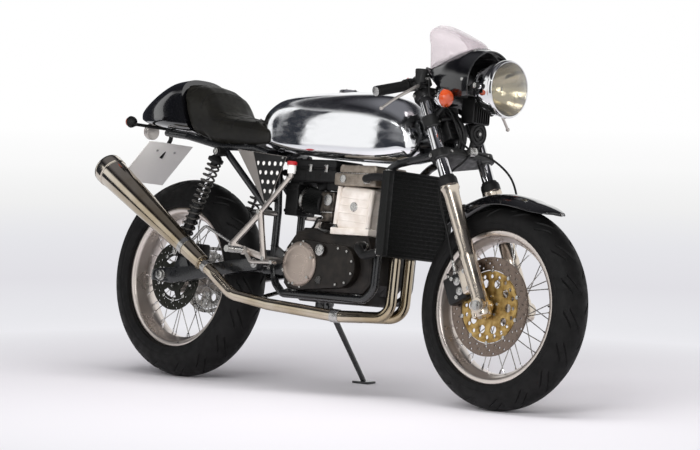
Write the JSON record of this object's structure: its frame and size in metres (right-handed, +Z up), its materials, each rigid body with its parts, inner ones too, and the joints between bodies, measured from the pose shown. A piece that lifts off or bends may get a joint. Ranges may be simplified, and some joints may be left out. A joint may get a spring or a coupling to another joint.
{
  "type": "cafe racer motorcycle",
  "caption": "Cafe racer motorcycle with wire wheels, a small headlamp cowl and screen, a long polished tank and a humped seat, parked leaning on its side stand.",
  "frame": {"origin": "middle of the underside of the box round the parked machine, on the ground", "axes": "+X toward the front wheel, +Y to the machine's left, +Z up; the machine leans to its left"},
  "size_m": [2.0178, 0.598, 1.1633],
  "materials": {
    "black_paint": "gloss",
    "dark_steel": "satin",
    "polished_aluminium": "polished",
    "brushed_steel": "brushed",
    "cast_aluminium": "satin",
    "chrome": "polished",
    "black_rubber": "matt",
    "black_leather": "satin",
    "black_plastic": "gloss",
    "pale_plastic": "matt",
    "red_plastic": "gloss",
    "orange_plastic": "gloss",
    "smoked_plastic": "gloss",
    "tyre_rubber": "matt",
    "gold_aluminium": "brushed"
  },
  "bodies": {
    "chassis": {"frame_backbone": "black_paint", "frame_cradle_left": "black_paint", "frame_cradle_right": "black_paint", "frame_seat_rail_left": "black_paint", "frame_seat_rail_right": "black_paint", "rear_shock_left": "dark_steel", "rear_shock_right": "dark_steel", "footrest_hanger_left": "polished_aluminium", "footrest_hanger_right": "polished_aluminium", "swingarm": "black_paint", "drive_chain": "brushed_steel", "rear_axle": "brushed_steel", "rear_caliper": "dark_steel", "crankcase": "cast_aluminium", "clutch_cover": "cast_aluminium", "generator_cover": "cast_aluminium", "cylinder_barrel": "cast_aluminium", "cylinder_head": "cast_aluminium", "exhaust_pipes": "chrome", "silencer": "chrome", "carburettor": "dark_steel", "airbox": "black_rubber", "radiator": "dark_steel", "fuel_tank": "polished_aluminium", "seat": "black_leather", "tail_cowl": "black_plastic", "side_panel_left": "dark_steel", "side_panel_right": "dark_steel", "number_plate": "pale_plastic", "rear_indicators": "black_plastic", "tail_lamp": "red_plastic", "brake_reservoir": "red_plastic"},
    "front_end": {"fork_yokes": "dark_steel", "fork_leg_left": "chrome", "fork_leg_right": "chrome", "handlebar_left": "black_rubber", "handlebar_right": "black_rubber", "front_caliper": "dark_steel", "front_indicator_left": "orange_plastic", "front_indicator_right": "orange_plastic", "front_axle": "brushed_steel", "front_mudguard": "black_paint", "headlamp": "chrome", "headlamp_bracket": "dark_steel", "fairing": "black_plastic", "windscreen": "smoked_plastic", "instruments": "dark_steel", "brake_hoses": "black_rubber"},
    "front_wheel": {"front_tyre": "tyre_rubber", "front_spoked_rim": "polished_aluminium", "front_brake_disc": "gold_aluminium"},
    "rear_wheel": {"rear_tyre": "tyre_rubber", "rear_spoked_rim": "polished_aluminium", "rear_brake_disc": "dark_steel", "rear_sprocket": "brushed_steel"},
    "side_stand": {"side_stand": "dark_steel"}
  },
  "joints": [
    {"name": "steering", "type": "hinge", "parent": "chassis", "child": "front_end", "pos_m": [0.39548, -0.00671, 0.82346], "axis": [-0.4384, 0.1173, 0.8911], "range_deg": [-28, 28]},
    {"name": "front_wheel_spin", "type": "hinge", "parent": "front_end", "child": "front_wheel", "pos_m": [0.69895, -0.07453, 0.30836], "axis": [0, 0.9914, -0.1305], "continuous": true},
    {"name": "rear_wheel_spin", "type": "hinge", "parent": "chassis", "child": "rear_wheel", "pos_m": [-0.68105, -0.07217, 0.32631], "axis": [0, 0.9914, -0.1305], "continuous": true},
    {"name": "side_stand_fold", "type": "hinge", "parent": "chassis", "child": "side_stand", "pos_m": [-0.14605, 0.0394, 0.26207], "axis": [0.0287, 0.9189, 0.3934], "range_deg": [0, 88]}
  ]
}
